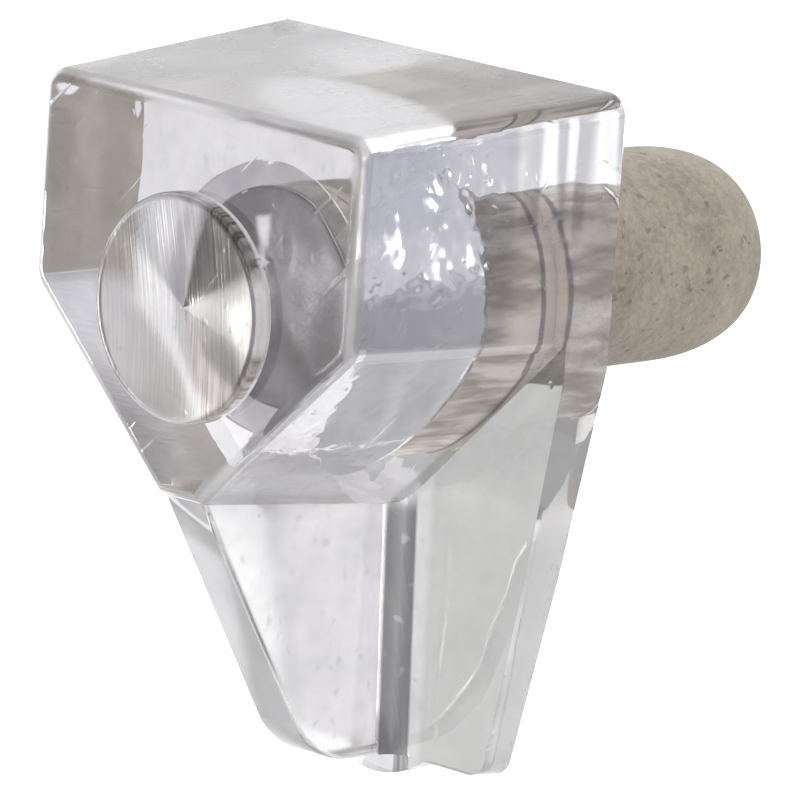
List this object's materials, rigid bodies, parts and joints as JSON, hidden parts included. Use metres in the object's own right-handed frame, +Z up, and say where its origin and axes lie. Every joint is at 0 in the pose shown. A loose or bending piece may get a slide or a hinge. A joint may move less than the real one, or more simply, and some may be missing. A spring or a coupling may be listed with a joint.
{
  "type": "shelf support pin",
  "caption": "Clear plastic shelf support with a drafted block, a centre web and a tapered back plate, held in the cabinet side by a round metal pin.",
  "frame": {"origin": "on the axis of the pin, in the plane of the cabinet side that the back plate lies against", "axes": "+Y along the pin into the cabinet side, +Z up towards the shelf, +X across the width"},
  "size_m": [0.0112, 0.0173, 0.0166],
  "materials": {
    "clear_plastic": "clear, smooth, lightly scratched",
    "pin_metal": "dull, matte, finely pitted"
  },
  "bodies": {
    "root": {"clear_body": "clear_plastic", "metal_pin": "pin_metal"}
  },
  "joints": []
}
